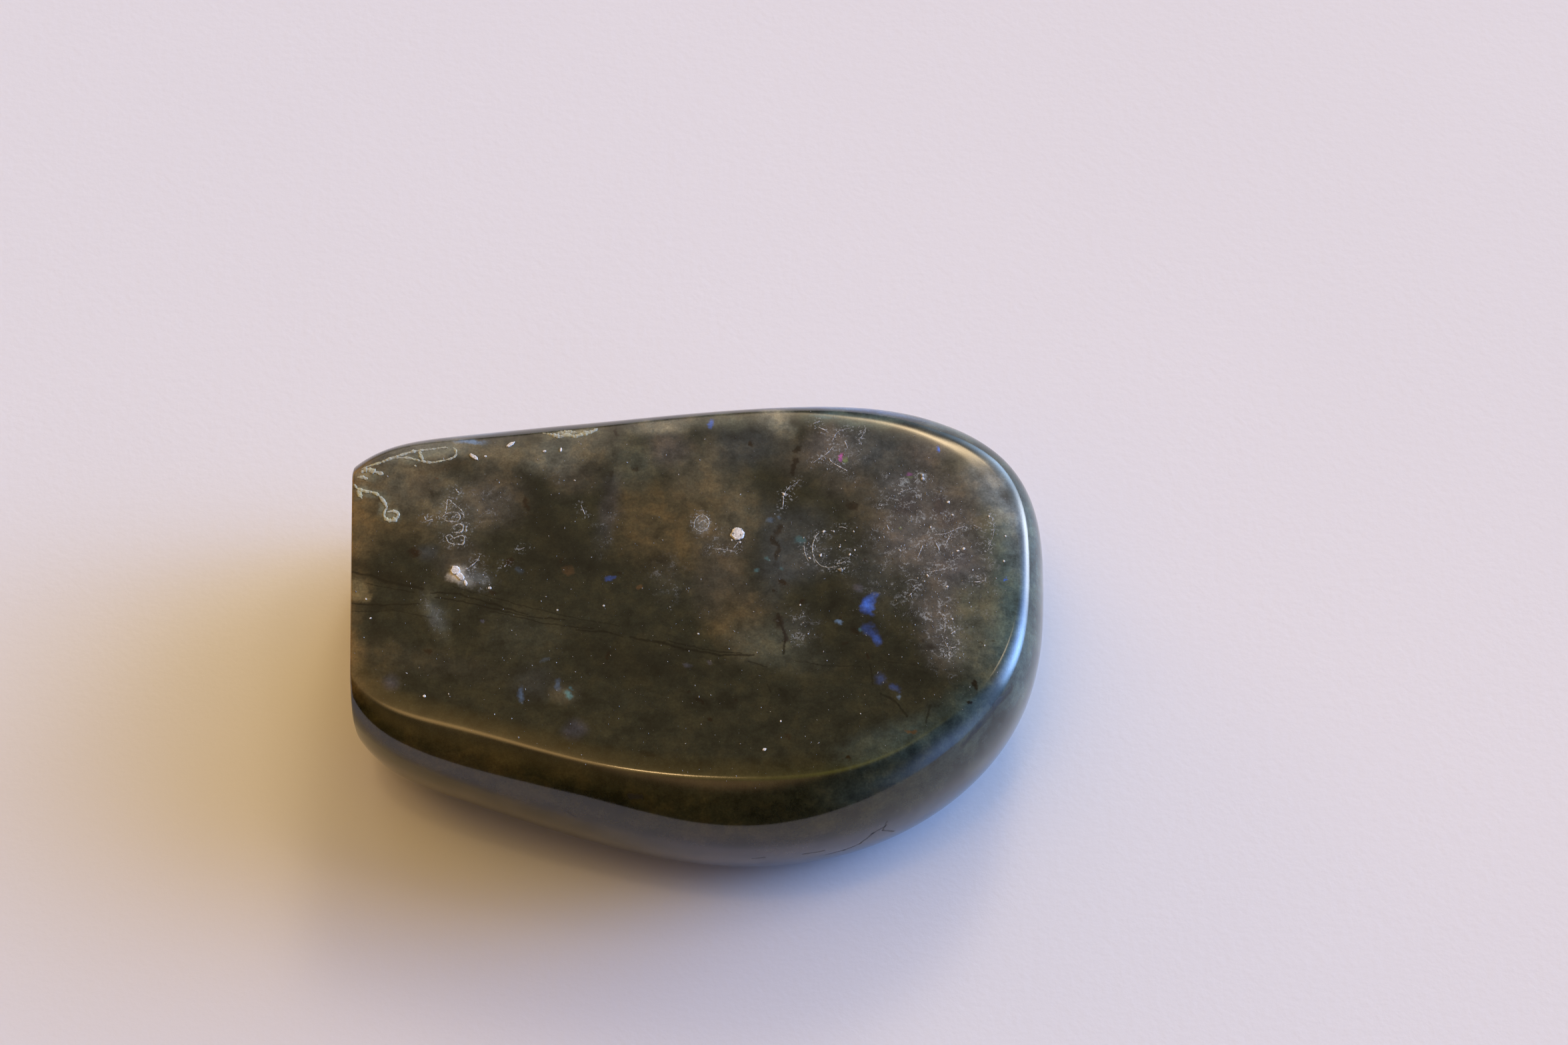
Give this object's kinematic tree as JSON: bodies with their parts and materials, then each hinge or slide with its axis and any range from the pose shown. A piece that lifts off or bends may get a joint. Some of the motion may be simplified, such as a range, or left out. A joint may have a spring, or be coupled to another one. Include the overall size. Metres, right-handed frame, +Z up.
{
  "type": "polished labradorite freeform",
  "caption": "Hand-size dark olive stone with a flat polished face, a round polished wall and one flat sawn end, lying flat as a display piece or paperweight.",
  "frame": {"origin": "on the plane that the stone lies on, under the middle of its bounding box", "axes": "+X along the stone's length from the sawn end to the round end, +Z up out of the flat polished face"},
  "size_m": [0.0846, 0.0592, 0.022],
  "materials": {
    "polished_labradorite": "polished"
  },
  "bodies": {
    "root": {"labradorite_stone": "polished_labradorite"}
  },
  "joints": []
}
